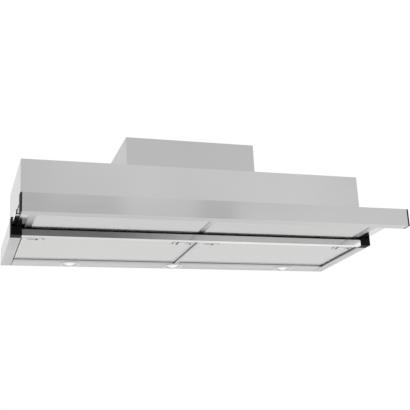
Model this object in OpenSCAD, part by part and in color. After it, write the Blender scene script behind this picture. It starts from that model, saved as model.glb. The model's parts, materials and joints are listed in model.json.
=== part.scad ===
// Pull out range hood, 90 cm class, drawn with its visor pulled all the way out.
// The origin lies midway between the two top ledges that screw under the wall unit.
// +X points right, +Y to the wall behind and +Z up. Lengths are in millimetres.

/* [Tray] */
// Width over the two side rails
tray_w = 898; // [780:1:1200]
// Depth of the tray, front to back
tray_d = 300; // [290:1:340]
// Height of the tray
tray_h = 42; // [40:1:48]
// Thickness of the folded steel sheet
sheet = 1; // [0.8:0.1:1.2]
// Width of each side rail's underside
strip_w = 25; // [23:0.5:30]
// Height of the flanges that stand up along the underside openings
flange_h = 15; // [11:0.5:16]
// Width of the ledge left free beside the upper casing
ledge_w = 20; // [16:1:30]
// Width of the ledge that reaches in under the casing
ledge_in = 14; // [12:1:18]
// Setback of the front channel's face behind the tray's front plane
channel_set = 2; // [1:0.5:4]
// Height of the front channel
channel_h = 14.5; // [13:0.5:16]
// Depth of the front channel's underside
channel_d = 17; // [15:1:22]
// Width of the front channel's top flange
channel_top = 13; // [10:1:16]
// Depth of the black seal on the front channel
seal_d = 6; // [3:0.5:8]
// Height of the black seal
seal_h = 3.2; // [2:0.1:4]
// Width of the divider between the two lower filters
divider_w = 8; // [6:0.5:12]
// Depth of the lamp panel behind the filters
panel_d = 58; // [57:1:70]

/* [Corner blocks] */
// Depth of each moulded corner block
block_d = 25; // [20:1:30]
// Wall beside the slide window
block_wall = 2; // [1.5:0.1:2.5]
// Height of the arm over the slide window
block_arm = 3; // [2:0.1:4]
// Length of the tongue that plugs into the side rail
tongue_l = 8; // [4:1:14]
// Radius of the moulded edges
block_r = 1.5; // [0.5:0.1:2.5]

/* [Casing] */
// Height of the upper casing
casing_h = 141; // [120:1:180]
// Setback of the casing's back from the tray's back
back_set = 18; // [10:1:30]
// Width of the flanges folded inward along the casing's foot
foot_w = 12; // [10:1:14]
// Width of the motor housing on top
motor_box_w = 336; // [310:1:420]
// Depth of the motor housing
motor_box_d = 228; // [226:1:250]
// Height of the motor housing
motor_box_h = 92; // [80:1:140]
// Width of the flange folded inward along the motor housing's foot
motor_box_foot = 8; // [6:0.5:10]

/* [Visor] */
// Travel of the visor between closed and pulled out
visor_travel = 172; // [120:1:176]
// Gap between the closed visor's front and the tray
closed_gap = 1; // [0.5:0.1:3]
// Depth of the visor's front profile
front_d = 25; // [22:1:34]
// Height of the visor's front profile
front_h = 41; // [36:0.5:44]
// Setback of the front profile's ends from the tray's ends
front_end = 1.5; // [0.5:0.1:4]
// Drop of the front profile's top below the ledges
front_drop = 4.5; // [3:0.1:6]
// Thickness of the end caps' plates
cap_t = 4; // [2:0.1:6]
// Length of the plug behind each end cap
plug_l = 9; // [5:1:16]
// Drop of the pull out tray's top below the ledges
visor_drop = 6; // [5.5:0.1:7]
// Height of the pull out tray
visor_h = 15; // [14:0.5:16]
// Depth of the pull out tray behind the front profile
visor_d = 203; // [190:1:206]
// Width of each slide carrier beside the pull out tray
carrier_w = 17.5; // [12:0.5:24]
// Width of the polished flange beside the filters
rim_w = 15; // [10:0.5:22]
// Width of the flange in front of the filters
rim_front = 10; // [6:0.5:16]
// Width of the flange behind the filters
rim_rear = 20; // [12:0.5:26]
// Width of the strip between the visor's filters
visor_strip = 12; // [8:0.5:18]
// Depth of the rubber lip behind the pull out tray
lip_d = 4; // [2:0.5:6]

/* [Telescopic slides] */
// Depth of one slide, from the side rail to the slide carrier
slide_t = 12; // [11:0.1:13]
// Length of each slide member
slide_l = 200; // [150:1:210]
// Wall of each slide member
slide_wall = 1.2; // [0.8:0.1:1.3]
// Running gap between slide members
slide_gap = 0.4; // [0.3:0.05:0.6]

/* [Filters] */
// Recess of the lower filters above the tray's underside
filter_set = 4; // [2:0.5:5]
// Thickness of a filter
filter_t = 10; // [8:0.5:10]
// Gap around the lower filters
filter_gap = 1.5; // [1:0.1:2]
// Width of the filter frame's lips
filter_lip = 6; // [4:0.5:10]
// Wall of the filter frame
filter_wall = 1; // [0.8:0.1:1.2]
// Radius of the hinge pins
pin_r = 2; // [1.5:0.1:2.2]
// Running clearance of the hinge pins
pin_gap = 0.15; // [0.1:0.01:0.3]
// Pitch of the corrugated mesh
mesh_pitch = 12; // [8:0.5:24]
// Thickness of the mesh sheets
mesh_t = 0.8; // [0.5:0.1:1.2]

/* [Filter catches] */
// Distance of the catches from the filter's front edge
catch_y = 29; // [20:1:60]
// Depth of the plate that carries a catch
catch_plate_d = 16; // [14:1:24]
// Length of the plate at the filter's left end
left_plate_l = 50; // [48:1:70]
// Length of the plate at the filter's right end
right_plate_l = 54; // [53:1:70]
// Start of the left slot, from the filter's left end
left_slot_in = 14.5; // [10:0.5:20]
// Place of the left pull pin, from the filter's left end
left_pin_in = 36; // [30:0.5:40]
// Start of the right slot, from the filter's right end
right_slot_in = 24.5; // [22:0.5:30]
// Place of the right pull pin, from the filter's right end
right_pin_in = 11; // [9:0.5:14]
// Place of the finger slot, from the filter's right end
finger_in = 44; // [40:0.5:46]
// Length of the finger slot
finger_l = 24; // [16:1:30]
// Width of the finger slot
finger_w = 5; // [3:0.5:7]
// Height of the finger slot's cup
finger_h = 6; // [4:0.5:7]
// Width of the slots
slot_w = 3.6; // [3.6:0.1:5]
// Radius of the pull pins
pull_r = 1.5; // [1:0.1:1.5]
// Drop of the pull pins below the plate
pull_drop = 1.5; // [1:0.1:3]
// Travel of the catches
catch_travel = 4; // [3:0.5:6]
// Width of the sliding bar
bar_w = 9; // [7:0.5:10]
// Thickness of the sliding bar
bar_t = 2.5; // [2:0.1:3]
// Gap between each catch's nose and the edge it faces
nose_gap = 0.3; // [0.3:0.05:0.6]

/* [Lamps] */
// Distance of the left lamp from the middle
lamp_left = 277; // [240:1:330]
// Distance of the right lamp from the middle
lamp_right = 318; // [260:1:340]
// Radius of the lamp's trim ring
lamp_r = 26; // [24:0.5:27]
// Radius of the hole for the lamp
lamp_hole_r = 23.5; // [22:0.1:23.5]
// Radius of the light opening
lamp_glass_r = 20; // [16:0.1:20.5]
// Height of the trim ring below the panel
lamp_trim = 1.6; // [1:0.1:2.5]
// Height of the lamp's cup above the panel
lamp_cup_h = 11; // [9:0.5:14]
// Wall of the lamp's cup
lamp_wall = 1.4; // [1:0.1:1.8]
// Thickness of the lens
lens_t = 2; // [1:0.1:3]
// Radius of the dome in the middle of the lens
dome_r = 13; // [10:0.5:15]
// Drop of the dome below the panel
dome_drop = 3.5; // [1:0.5:3.5]
// Height of the cooling body behind the lens
lamp_fin_h = 16; // [12:0.5:18]
// Number of cooling fins
lamp_fins = 4; // [2:1:5]

/* [Blower] */
// Largest radius of the scroll
scroll_r = 100; // [94:1:102]
// Radius of the scroll at its tongue
scroll_r0 = 68; // [66:1:76]
// Width of the scroll
scroll_w = 150; // [130:1:160]
// Distance of the fan's axis behind the middle of the tray
fan_y = 20; // [10:1:22]
// Height of the scroll's lowest point above the ledges
scroll_low = 8; // [4:1:14]
// Depth of the scroll's outlet
outlet_d = 104; // [90:1:106]
// Width of the flange round the outlet
outlet_flange = 9; // [6:0.5:10]
// Radius of the air inlets
inlet_r = 50; // [40:1:54]
// Radius of the fan wheel
wheel_r = 62; // [56:1:63]
// Width of the fan wheel
wheel_w = 132; // [100:1:140]
// Number of blades
blades = 30; // [16:1:40]
// Depth of the ring that carries the blades
blade_d = 11; // [8:0.5:14]
// Radius of the blades' curve
blade_curve = 9; // [8:0.5:14]
// Thickness of the blades
blade_t = 0.8; // [0.6:0.1:1.2]
// Radius of the hub
hub_r = 13; // [10:0.5:18]
// Length of the hub
hub_l = 30; // [20:1:40]
// Radius of the shaft
shaft_r = 4; // [3:0.1:5]
// Clearance round the shaft
shaft_gap = 0.05; // [0.03:0.01:0.1]
// Radius of the motor
motor_r = 42; // [34:1:46]
// Length of the motor
motor_l = 58; // [40:1:64]
// Thickness of the motor's bracket
bracket_t = 2; // [1.5:0.1:3]
// Width of the bracket's arms
arm_w = 14; // [10:1:18]

/* [Duct collar] */
// Outer radius of the collar
collar_r = 60; // [50:0.5:60]
// Wall of the collar
collar_wall = 1.6; // [1.2:0.1:2]
// Height of the collar above its flange
collar_h = 34; // [30:1:60]
// Thickness of the collar's flange
collar_flange_t = 2; // [1.5:0.1:3]
// Width of the collar's flange
collar_flange_w = 3.5; // [3:0.1:4]
// Thickness of the flaps
flap_t = 1.2; // [1:0.1:2]
// Radius of the flap rods
rod_r = 1.5; // [1:0.1:2]
// Distance of each flap rod from the collar's middle
rod_y = 5; // [4.5:0.1:8]
// Width of the ring that the flaps rest on
stop_w = 3; // [2:0.5:5]

/* [Electrics] */
// Width of the terminal box
terminal_w = 110; // [80:1:140]
// Depth of the terminal box
terminal_d = 70; // [50:1:90]
// Height of the terminal box
terminal_h = 34; // [24:1:40]
// Distance of the terminal box from the middle, to the left
terminal_x = 270; // [250:1:300]
// Radius of the capacitor
capacitor_r = 17; // [14:0.5:20]
// Length of the capacitor
capacitor_l = 38; // [30:1:40]
// Distance of the capacitor from the middle, to the right
capacitor_x = 215; // [200:1:300]
// Bore radius of the cable gland
gland_bore = 4; // [3:0.1:5]
// Radius of the cable gland's stem
gland_r = 7; // [6.5:0.1:8]
// Height of the cable gland's cap
gland_h = 14; // [10:1:20]
// Width of the lamps' driver
driver_w = 96; // [70:1:130]
// Depth of the lamps' driver
driver_d = 34; // [26:1:38]
// Height of the lamps' driver
driver_h = 18; // [12:1:22]

/* [Slide switches] */
// Distance of the switches from the visor's right end
switch_in = 96; // [80:1:140]
// Distance between the two switches
switch_pitch = 46; // [40:1:60]
// Travel of the speed switch
speed_travel = 12; // [6:0.5:15]
// Travel of the lamp switch
lamp_travel = 6; // [4:0.5:10]
// Length of a thumb piece
thumb_l = 12; // [8:0.5:16]
// Width of a thumb piece
thumb_w = 6; // [5:0.5:9]
// Height of a thumb piece
thumb_h = 2.4; // [1.5:0.1:3]
// Width of the stem under a thumb piece
stem_w = 3; // [2:0.1:4]
// Height of the switch module
module_h = 12; // [10:0.5:14]

/* [Screws] */
// Distance between the rows of cabinet screw holes, front to back
cabinet_pitch = 190; // [150:1:200]
// Distance of the cabinet screw holes from the tray's ends
cabinet_in = 16.5; // [15.5:0.1:17]
// Radius of the cabinet screw holes
cabinet_r = 2.25; // [2:0.05:2.5]
// Radius of the casing screws' shanks
screw_r = 1.8; // [1.4:0.1:2]
// Radius of the casing screws' heads
screw_head_r = 3.4; // [3:0.1:3.6]
// Height of the casing screws' heads
screw_head_h = 2; // [1.4:0.1:2.6]
// Clearance round the casing screws
screw_gap = 0.2; // [0.1:0.05:0.4]
// Distance between the casing screws
screw_pitch = 105; // [80:1:110]

/* [Fits] */
// Gap between pieces that move past each other
gap = 0.3; // [0.3:0.05:0.5]
// Gap at the seams between fixed pieces
seam = 0.5; // [0.3:0.1:0.8]

/* [Hidden] */
$fn = 48;
over = 2;
steel = [0.78, 0.78, 0.79];
bright = [0.86, 0.86, 0.87];
zinc = [0.66, 0.68, 0.7];
alloy = [0.82, 0.82, 0.82];
black = [0.07, 0.07, 0.08];
plastic = [0.25, 0.26, 0.27];
clear = [0.95, 0.96, 0.98];

tray_x = tray_w / 2;
front_y = -tray_d / 2;
back_y = tray_d / 2;
tray_z = -tray_h;
strip_x = tray_x - strip_w;
wall_x = tray_x - sheet;
block_back = front_y + block_d;

casing_x = tray_x - ledge_w;
casing_rear = back_y - back_set;
motor_box_x = motor_box_w / 2;
motor_box_front = casing_rear - motor_box_d;
top_z = casing_h + motor_box_h;

channel_front = front_y + channel_set;
channel_back = channel_front + channel_d;
channel_z = tray_z + channel_h;
panel_front = back_y - panel_d;

visor_top = -visor_drop;
visor_low = visor_top - visor_h;
visor_mid = (visor_top + visor_low) / 2;
visor_back = front_y - closed_gap - visor_travel;
visor_face = visor_back - front_d;
visor_end = visor_back + visor_d;
profile_top = -front_drop;
profile_low = profile_top - front_h;
profile_x = tray_x - front_end;
seal_z = channel_z + seal_h;

slide_x = wall_x - slide_t;
carrier_in = slide_x - carrier_w;
rim_x = carrier_in - seam;
inner_front = visor_back;
middle_front = inner_front + visor_travel / 2 + gap;

filter_low = tray_z + filter_set;
filter_mid = filter_low + filter_t / 2;
filter_high = filter_low + filter_t;
filter_front = channel_back + filter_gap;
filter_r = filter_t / 2;
hinge_y = panel_front - filter_gap - filter_r;
filter_in = divider_w / 2 + seam;
filter_out = strip_x - filter_gap;
filter_w = filter_out - filter_in;
pin_l = filter_gap + sheet + gap;
catch_row = filter_front + catch_y;

lamp_y = back_y - panel_d / 2;
lamp_places = [-lamp_left, 0, lamp_right];
dome_h = dome_drop + lamp_wall;
dome_ball = (dome_r * dome_r + dome_h * dome_h) / (2 * dome_h);

tongue_gap = gap / 2;
scroll_grow = (scroll_r - scroll_r0) / 3;
fan_z = scroll_low + scroll_r0 + 2 * scroll_grow;
scroll_x = scroll_w / 2;
scroll_steps = 45;
outlet_back = fan_y + scroll_r;
outlet_front = outlet_back - outlet_d;
outlet_z = top_z - sheet;
collar_y = casing_rear - collar_wall - collar_flange_w - collar_r;
collar_in = collar_r - collar_wall;
flap_z = top_z + collar_flange_t + rod_r * 2 + gap;
sleeve_r = rod_r + gap / 2 + flap_t;
motor_x = scroll_x + bracket_t;

switch_x = profile_x - switch_in;
switch_y = visor_face + front_d / 2;
module_l = switch_pitch + speed_travel + lamp_travel + 2 * thumb_l;
screw_x = casing_x - foot_w / 2 - sheet / 2;

// A block between two limits on each axis
module block(x, y, z)
    translate([x[0], y[0], z[0]])
        cube([x[1] - x[0], y[1] - y[0], z[1] - z[0]]);

// Sheet folded along a path of right angles, seen edge on
module fold(path, t)
    for (i = [1:len(path) - 1]) {
        from = path[i - 1];
        to = path[i];
        translate([min(from[0], to[0]), min(from[1], to[1])])
            square([abs(to[0] - from[0]) + t, abs(to[1] - from[1]) + t]);
    }

// An outline in Y and Z, drawn out along X
module along_x(x)
    translate([x[0], 0, 0]) rotate([90, 0, 90]) linear_extrude(x[1] - x[0]) children();

// An outline in X and Z, drawn out along Y
module along_y(y)
    translate([0, y[1], 0]) rotate([90, 0, 0]) linear_extrude(y[1] - y[0]) children();

// A round bar along X
module bar_x(x, y, z, r)
    translate([x[0], y, z]) rotate([0, 90, 0]) cylinder(h = x[1] - x[0], r = r);

// A round bar along Z
module bar_z(x, y, z, r)
    translate([x, y, z[0]]) cylinder(h = z[1] - z[0], r = r);

// A slot with round ends along X, cut through Z
module slot_x(x, y, z, r) {
    bar_z(x[0] + r, y, z, r);
    bar_z(x[1] - r, y, z, r);
    block([x[0] + r, x[1] - r], [y - r, y + r], z);
}

// The same piece, mirrored for the left side
module on_side(side)
    if (side < 0) mirror([1, 0, 0]) children();
    else children();

module casing_wrap() color(steel) {
    difference() {
        block([-casing_x, casing_x], [front_y, casing_rear], [0, casing_h]);
        block([-casing_x + sheet, casing_x - sheet], [front_y + sheet, casing_rear + over],
            [-over, casing_h + over]);
    }
    difference() {
        block([-casing_x, casing_x], [front_y, casing_rear - foot_w], [0, sheet]);
        block([-casing_x + foot_w, casing_x - foot_w], [front_y + foot_w, casing_rear + over],
            [-over, sheet + over]);
        screw_holes();
    }
}

// Holes for the casing's screws, through its foot and the ledge below
module screw_holes()
    for (side = [-1, 1], i = [-1:1])
        bar_z(side * screw_x, i * screw_pitch, [-over, over], screw_r + screw_gap);

module casing_top() color(steel)
    difference() {
        block([-casing_x + sheet, casing_x - sheet], [front_y + sheet, casing_rear - sheet],
            [casing_h - foot_w, casing_h]);
        block([-casing_x + 2 * sheet, casing_x - 2 * sheet],
            [front_y + 2 * sheet, casing_rear - 2 * sheet],
            [casing_h - foot_w - over, casing_h - sheet]);
        block([-motor_box_x + motor_box_foot, motor_box_x - motor_box_foot],
            [motor_box_front + motor_box_foot, casing_rear - motor_box_foot],
            [casing_h - foot_w - over, casing_h + over]);
        bar_z(-terminal_x, gland_y(), [casing_h - over, casing_h + over], gland_r + seam);
    }

// Place of the cable gland behind the terminal box
function gland_y() = casing_rear - foot_w - 2 * gland_r;

module casing_back() color(steel) {
    block([-casing_x + sheet, casing_x - sheet], [casing_rear - sheet, casing_rear],
        [0, casing_h]);
    block([-casing_x + foot_w, casing_x - foot_w], [casing_rear - foot_w, casing_rear],
        [0, sheet]);
}

module motor_housing() color(steel)
    difference() {
        block([-motor_box_x, motor_box_x], [motor_box_front, casing_rear], [casing_h, top_z]);
        block([-motor_box_x + sheet, motor_box_x - sheet],
            [motor_box_front + sheet, casing_rear - sheet], [casing_h + sheet, top_z - sheet]);
        block([-motor_box_x + motor_box_foot, motor_box_x - motor_box_foot],
            [motor_box_front + motor_box_foot, casing_rear - motor_box_foot],
            [casing_h - over, casing_h + over]);
        bar_z(0, collar_y, [top_z - over, top_z + over], collar_in);
    }

module side_rail(side) color(steel)
    on_side(side) difference() {
        along_y([block_back, back_y - sheet])
            fold([[strip_x, tray_z + flange_h], [strip_x, tray_z], [wall_x, tray_z],
                [wall_x, -sheet], [casing_x - ledge_in, -sheet]], sheet);
        bar_x([strip_x - over, strip_x + sheet + over], hinge_y, filter_mid, pin_r + pin_gap);
        for (end = [-1, 1])
            bar_z(tray_x - cabinet_in, end * cabinet_pitch / 2, [-sheet - over, over], cabinet_r);
        for (i = [-1:1])
            bar_z(screw_x, i * screw_pitch, [-sheet - over, over], screw_r + screw_gap);
    }
module side_rail_left() side_rail(-1);
module side_rail_right() side_rail(1);

module rear_rail() color(steel) {
    block([-tray_x, tray_x], [back_y - sheet, back_y], [tray_z, 0]);
    block([-casing_x + ledge_in + seam, casing_x - ledge_in - seam],
        [casing_rear - foot_w, back_y], [-sheet, 0]);
}

module front_channel() color(bright)
    along_x([-strip_x, strip_x])
        fold([[channel_front + channel_top - sheet, channel_z - sheet],
            [channel_front, channel_z - sheet], [channel_front, tray_z],
            [channel_back - sheet, tray_z], [channel_back - sheet, tray_z + flange_h - 2 * sheet]],
            sheet);

module channel_seal() color(black)
    along_x([-strip_x, strip_x]) difference() {
        translate([channel_front + sheet, channel_z])
            square([seal_d, seal_h]);
        translate([channel_front + sheet + seal_d / 2, seal_z]) circle(r = seal_d / 6);
    }

module centre_divider() color(bright)
    difference() {
        along_y([channel_back, panel_front])
            fold([[-divider_w / 2, tray_z + flange_h], [-divider_w / 2, tray_z],
                [divider_w / 2 - sheet, tray_z], [divider_w / 2 - sheet, tray_z + flange_h]],
                sheet);
        bar_x([-divider_w, divider_w], hinge_y, filter_mid, pin_r + pin_gap);
    }

module lamp_panel() color(steel)
    difference() {
        along_x([-strip_x + seam, strip_x - seam])
            fold([[panel_front, tray_z + flange_h - 2 * sheet], [panel_front, tray_z],
                [back_y - 2 * sheet, tray_z], [back_y - 2 * sheet, tray_z + flange_h]], sheet);
        for (x = lamp_places)
            bar_z(x, lamp_y, [tray_z - over, tray_z + over], lamp_hole_r);
    }

module corner_block(side) color(black)
    on_side(side) {
        difference() {
            along_y([front_y, block_back]) block_outline();
            block([strip_x + block_wall, tray_x - block_wall],
                [front_y + block_wall, block_back + over],
                [tray_z + block_wall, visor_low - seam - block_wall]);
        }
        // A rib across the hollow below the window
        block([tray_x - strip_w / 2 - block_wall / 2, tray_x - strip_w / 2 + block_wall / 2],
            [front_y + block_wall, block_back],
            [tray_z + block_wall, visor_low - seam - block_wall]);
        // The tongue in the side rail
        block([strip_x + sheet + tongue_gap, wall_x - tongue_gap],
            [block_back - block_wall, block_back + tongue_l],
            [tray_z + sheet + tongue_gap, tray_z + sheet + tongue_gap + block_wall]);
    }

// The block seen from the front, with its window open inward
module block_outline()
    difference() {
        translate([strip_x, tray_z]) square([strip_w, tray_h]);
        translate([strip_x - over, visor_low - seam])
            square([strip_w + over - block_wall, visor_h + visor_drop + seam - block_arm]);
        // Rounded lower outer edge
        translate([tray_x - block_r, tray_z]) difference() {
            translate([0, -over]) square([block_r + over, block_r + over]);
            translate([0, block_r]) circle(r = block_r);
            translate([-over, -over]) square([over, block_r + 2 * over]);
        }
    }
module corner_block_left() corner_block(-1);
module corner_block_right() corner_block(1);

module lamp_rings() color(bright)
    for (x = lamp_places) translate([x, lamp_y, tray_z]) rotate_extrude() difference() {
        union() {
            polygon([[lamp_glass_r, -lamp_trim / 2], [lamp_glass_r + lamp_wall, -lamp_trim],
                [lamp_r - lamp_wall, -lamp_trim], [lamp_r, -lamp_trim / 3], [lamp_r, 0],
                [lamp_glass_r, 0]]);
            translate([lamp_glass_r, -lamp_trim / 2])
                square([lamp_hole_r - gap - lamp_glass_r, lamp_trim / 2 + lamp_cup_h]);
        }
        translate([0, lamp_wall]) square([lamp_hole_r - gap - lamp_wall, lamp_cup_h]);
    }

// A flat lens with a shallow dome that stands out of the ring
module lamp_lenses() color(clear)
    for (x = lamp_places) translate([x, lamp_y, tray_z]) rotate_extrude() {
        translate([0, lamp_wall]) square([lamp_hole_r - lamp_wall - 2 * gap, lens_t]);
        intersection() {
            translate([0, dome_ball - dome_drop]) circle(r = dome_ball);
            translate([0, -dome_drop]) square([dome_r, dome_drop + lamp_wall + lens_t]);
        }
    }

module lamp_bodies() color(zinc)
    for (x = lamp_places) translate([x, lamp_y, tray_z + lamp_wall + lens_t]) rotate_extrude()
        difference() {
            square([lamp_hole_r - lamp_wall - 2 * gap, lamp_fin_h]);
            for (i = [1:lamp_fins])
                translate([lamp_hole_r - 3 * lamp_wall, lamp_fin_h * i / (lamp_fins + 1)])
                    square([lamp_wall * 3, lamp_fin_h / (lamp_fins + 1) / 2]);
        }

module lamp_driver() color(plastic)
    difference() {
        block([lamp_right / 2 - driver_w / 2, lamp_right / 2 + driver_w / 2],
            [lamp_y - driver_d / 2, lamp_y + driver_d / 2],
            [tray_z + sheet, tray_z + sheet + driver_h]);
        for (side = [-1, 1])
            block([lamp_right / 2 + side * driver_w / 2 - driver_h / 2,
                lamp_right / 2 + side * driver_w / 2 + driver_h / 2],
                [lamp_y - driver_d, lamp_y + driver_d],
                [tray_z + sheet + driver_h / 2, tray_z + driver_h + over]);
    }

// A slide member's section: a web and two lips, open towards -X where dir is -1
module slide_section(web_x, dir, depth, half, wall) {
    from = dir < 0 ? web_x - depth : web_x;
    difference() {
        translate([from, visor_mid - half]) square([depth, 2 * half]);
        translate([from + (dir < 0 ? -over : wall), visor_mid - half + wall])
            square([depth - wall + over, 2 * half - 2 * wall]);
    }
}
fixed_half = visor_h / 2;
middle_half = fixed_half - slide_wall - slide_gap;
inner_half = middle_half - slide_wall - slide_gap;
middle_x = wall_x - slide_wall - slide_gap;
inner_reach = slide_t - 2 * slide_wall - 3 * slide_gap;

module slide_fixed(side) color(zinc)
    on_side(side) along_y([block_back + gap, block_back + gap + slide_l])
        slide_section(wall_x, -1, slide_t - slide_wall - slide_gap, fixed_half, slide_wall);
module slide_middle(side) color(zinc)
    on_side(side) along_y([middle_front, middle_front + slide_l])
        slide_section(middle_x, -1, slide_t - 2 * slide_wall - 2 * slide_gap, middle_half,
            slide_wall);
module slide_inner(side) color(zinc)
    on_side(side) along_y([inner_front, inner_front + slide_l])
        slide_section(slide_x, 1, inner_reach - slide_gap, inner_half, slide_wall);
module slide_fixed_left() slide_fixed(-1);
module slide_fixed_right() slide_fixed(1);
module slide_middle_left() slide_middle(-1);
module slide_middle_right() slide_middle(1);
module slide_inner_left() slide_inner(-1);
module slide_inner_right() slide_inner(1);

// The angle at which the spiral meets the outlet's front wall
function tongue_a(inset) = 90 + asin((fan_y - outlet_front - inset) / (scroll_r0 - inset));

// The scroll's spiral, from the tongue round to the outlet's back wall
function spiral(inset) = [for (i = [0:scroll_steps])
    let (a = tongue_a(inset) + (360 - tongue_a(inset)) * i / scroll_steps,
        r = scroll_r0 + scroll_grow * (a - 90) / 90 - inset)
    [fan_y + r * cos(a), fan_z + r * sin(a)]];

module scroll_outline(inset)
    polygon(concat(spiral(inset),
        [[outlet_back - inset, outlet_z], [outlet_front + inset, outlet_z]]));

module scroll_housing() color(zinc)
    difference() {
        union() {
            along_x([-scroll_x, scroll_x]) scroll_outline(0);
            block([-scroll_x - outlet_flange, scroll_x + outlet_flange],
                [outlet_front - outlet_flange, outlet_back], [outlet_z - sheet, outlet_z]);
            bar_x([-scroll_x - 3 * sheet, scroll_x + bracket_t], fan_y, fan_z, inlet_r + sheet);
        }
        along_x([-scroll_x + sheet, scroll_x - sheet]) scroll_outline(sheet);
        block([-scroll_x + sheet, scroll_x - sheet],
            [outlet_front + sheet, outlet_back - sheet], [outlet_z - over, outlet_z + over]);
        bar_x([-scroll_x - motor_l, scroll_x + motor_l], fan_y, fan_z, inlet_r);
    }

// One forward curved blade, seen along the fan's axis
module blade()
    intersection() {
        translate([wheel_r - blade_d / 2, -blade_curve]) difference() {
            circle(r = blade_curve + blade_t / 2);
            circle(r = blade_curve - blade_t / 2);
        }
        difference() {
            circle(r = wheel_r - blade_t);
            circle(r = wheel_r - blade_d + blade_t);
        }
        translate([0, -blade_curve]) square([wheel_r, 2 * blade_curve]);
    }

module fan_wheel() color(plastic)
    translate([0, fan_y, fan_z]) rotate([0, 90, 0]) {
        translate([0, 0, -wheel_w / 2]) linear_extrude(wheel_w)
            for (i = [0:blades - 1]) rotate(i * 360 / blades) blade();
        for (z = [-wheel_w / 2, wheel_w / 2 - bracket_t])
            translate([0, 0, z]) difference() {
                cylinder(h = bracket_t, r = wheel_r);
                translate([0, 0, -over]) cylinder(h = bracket_t + 2 * over, r = wheel_r - blade_d);
            }
        difference() {
            union() {
                translate([0, 0, -bracket_t / 2]) cylinder(h = bracket_t, r = wheel_r);
                translate([0, 0, -hub_l / 2]) cylinder(h = hub_l, r = hub_r);
            }
            translate([0, 0, -hub_l]) cylinder(h = 2 * hub_l, r = shaft_r + shaft_gap);
        }
    }

module motor_shaft() color(zinc)
    bar_x([-hub_l / 2, motor_x + motor_l / 2], fan_y, fan_z, shaft_r);

module fan_motor() color(plastic)
    difference() {
        union() {
            bar_x([motor_x, motor_x + motor_l], fan_y, fan_z, motor_r - sheet);
            for (x = [motor_x, motor_x + motor_l * 2 / 3])
                bar_x([x, x + motor_l / 3], fan_y, fan_z, motor_r);
            translate([motor_x, fan_y, fan_z]) rotate([0, 90, 0])
                for (i = [0:2]) rotate(i * 120) bracket_arm();
        }
        bar_x([-hub_l, motor_x + motor_l / 2 + over], fan_y, fan_z, shaft_r + shaft_gap);
    }

// One arm of the motor's bracket, with its spacer against the scroll
module bracket_arm() {
    translate([motor_r / 2, -arm_w / 2, 0])
        cube([inlet_r + arm_w - motor_r / 2, arm_w, bracket_t]);
    translate([inlet_r + arm_w / 2 + sheet, 0, -bracket_t])
        cylinder(h = bracket_t, r = arm_w / 4);
}

module duct_collar() color(zinc) {
    translate([0, collar_y, top_z]) rotate_extrude() {
        translate([collar_in, 0]) square([collar_wall, collar_flange_t + collar_h]);
        translate([collar_in, 0]) square([collar_wall + collar_flange_w, collar_flange_t]);
        translate([collar_in - stop_w, 0]) square([stop_w + collar_wall, collar_flange_t]);
    }
    // The crossbar below the flaps' sleeves
    block([-collar_in, collar_in], [collar_y - rod_y, collar_y + rod_y],
        [top_z, top_z + collar_flange_t]);
    for (side = [-1, 1])
        bar_x([-collar_in - collar_wall / 2, collar_in + collar_wall / 2],
            collar_y + side * rod_y, flap_z, rod_r);
}

// One half of the non-return flap, hung on its rod
module flap(side) color(plastic)
    difference() {
        union() {
            intersection() {
                bar_z(0, collar_y, [flap_z - sleeve_r, flap_z - sleeve_r + flap_t],
                    collar_in - gap);
                block([-collar_r, collar_r],
                    side < 0 ? [collar_y - collar_r, collar_y - rod_y]
                        : [collar_y + rod_y, collar_y + collar_r],
                    [top_z, top_z + collar_h]);
            }
            bar_x([-collar_r / 2, collar_r / 2], collar_y + side * rod_y, flap_z, sleeve_r);
        }
        bar_x([-collar_r, collar_r], collar_y + side * rod_y, flap_z, rod_r + gap / 2);
    }
module flap_front() flap(-1);
module flap_rear() flap(1);

module capacitor() color(bright)
    translate([capacitor_x, fan_y, casing_h - sheet]) mirror([0, 0, 1]) {
        cylinder(h = capacitor_l, r = capacitor_r);
        for (side = [-1, 1])
            translate([side * capacitor_r / 3 - sheet / 2, -capacitor_r / 6, 0])
                cube([sheet, capacitor_r / 3, capacitor_l + 4 * sheet]);
    }

module terminal_box() color(plastic)
    difference() {
        union() {
            block([-terminal_x - terminal_w / 2, -terminal_x + terminal_w / 2],
                [-terminal_d / 2, terminal_d / 2],
                [casing_h - sheet - terminal_h / 3, casing_h - sheet]);
            block([-terminal_x - terminal_w / 2 + sheet, -terminal_x + terminal_w / 2 - sheet],
                [-terminal_d / 2 + sheet, terminal_d / 2 - sheet],
                [casing_h - sheet - terminal_h, casing_h - sheet]);
        }
        for (i = [-1:1])
            translate([-terminal_x + i * terminal_w / 4, terminal_d / 2 + over,
                casing_h - sheet - terminal_h / 2]) rotate([90, 0, 0])
                cylinder(h = terminal_d / 4, r = gland_bore);
    }

module cable_gland() color(black)
    translate([-terminal_x, gland_y(), casing_h]) difference() {
        union() {
            cylinder(h = gland_h, r = gland_r * 4 / 3, $fn = 6);
            translate([0, 0, -gland_h / 2]) cylinder(h = gland_h, r = gland_r);
            translate([0, 0, -sheet - gland_h / 3])
                cylinder(h = gland_h / 3, r = gland_r * 4 / 3, $fn = 6);
        }
        translate([0, 0, -gland_h]) cylinder(h = 3 * gland_h, r = gland_bore);
    }

switch_in_x = casing_x - ledge_in;
switch_back_y = visor_end + visor_travel + lip_d;
module visor_switch() color(black) {
    block([switch_in_x, switch_in_x + foot_w], [switch_back_y + foot_w, switch_back_y + 2 * foot_w],
        [visor_low + 2 * sheet, -sheet]);
    block([switch_in_x + foot_w / 3, switch_in_x + foot_w * 2 / 3],
        [switch_back_y + 2 * sheet, switch_back_y + foot_w], [visor_mid, visor_mid + 2 * sheet]);
}

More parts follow.
